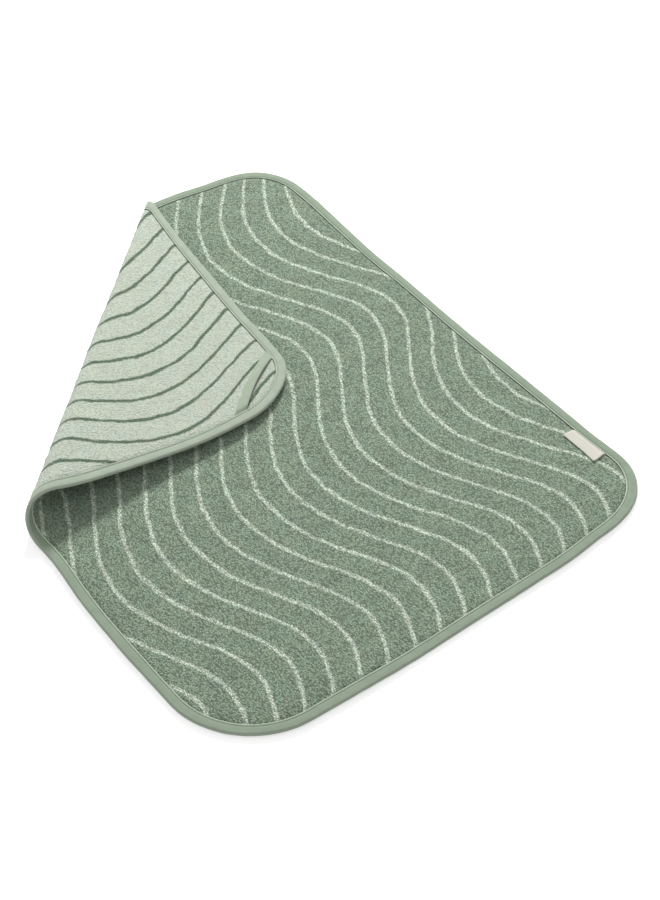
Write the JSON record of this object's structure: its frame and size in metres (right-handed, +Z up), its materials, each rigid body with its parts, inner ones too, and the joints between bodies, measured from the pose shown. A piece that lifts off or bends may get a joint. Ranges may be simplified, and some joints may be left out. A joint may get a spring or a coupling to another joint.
{
  "type": "baby towel",
  "caption": "Flat reversible terry baby towel, bound all round, with one corner turned over, a hanging loop across that corner and a blank sewn-in label.",
  "frame": {"origin": "centre of the opened towel, on the surface it rests on", "axes": "+Z up from the rest surface, +X across the towel to the long edge with the label, +Y along the towel to the short edge with the turned corner, which is at -X +Y"},
  "size_m": [0.5019, 0.6521, 0.0427],
  "materials": {
    "terry": "double-faced jacquard terry, sage green face with pale waves, pale reverse with green waves",
    "binding": "smooth woven bias tape, matt sage green",
    "thread": "polyester sewing thread, sage green",
    "label": "blank woven ribbon, cream"
  },
  "bodies": {
    "towel": {"terry_main": "terry", "binding_main": "binding", "seam_main": "thread"},
    "fold_1": {"terry_fold_1": "terry", "binding_fold_1": "binding", "seam_fold_1": "thread"},
    "fold_2": {"terry_fold_2": "terry", "binding_fold_2": "binding", "seam_fold_2": "thread"},
    "flap": {"terry_flap": "terry", "binding_flap": "binding", "seam_flap": "thread"},
    "corner": {"terry_corner": "terry", "binding_corner": "binding", "seam_corner": "thread"},
    "loop": {"hanging_loop": "binding", "loop_stitch": "thread"},
    "label": {"woven_label": "label"}
  },
  "joints": [
    {"name": "corner_fold_1", "type": "hinge", "parent": "towel", "child": "fold_1", "pos_m": [-0.06853, 0.15363, 0.005], "axis": [-0.7271, -0.6866, 0], "range_deg": [0, 64.1]},
    {"name": "corner_fold_2", "type": "hinge", "parent": "fold_1", "child": "fold_2", "pos_m": [-0.06736, 0.1624, 0.01652], "axis": [-0.7362, -0.6761, 0.0288], "range_deg": [0, 64.1]},
    {"name": "corner_fold_3", "type": "hinge", "parent": "fold_2", "child": "flap", "pos_m": [-0.05763, 0.1607, 0.02624], "axis": [-0.7219, -0.6899, 0.0538], "range_deg": [0, 64.1]},
    {"name": "corner_ease", "type": "hinge", "parent": "flap", "child": "corner", "pos_m": [-0.00324, 0.12681, 0.01658], "axis": [0.6037, 0.797, -0.0175], "range_deg": [0, 10.6]},
    {"name": "loop_lift", "type": "hinge", "parent": "corner", "child": "loop", "pos_m": [0.02471, 0.02163, 0.01507], "axis": [-0.7858, -0.6178, 0.0272], "range_deg": [0, 75]},
    {"name": "label_flip", "type": "hinge", "parent": "towel", "child": "label", "pos_m": [0.2392, -0.2235, 0.006], "axis": [0, 1, 0], "range_deg": [0, 165]}
  ],
  "couplings": [
    {"joint": "corner_fold_2", "follows": "corner_fold_1", "ratio": 1},
    {"joint": "corner_fold_3", "follows": "corner_fold_1", "ratio": 1},
    {"joint": "corner_ease", "follows": "corner_fold_1", "ratio": 0.16537}
  ]
}
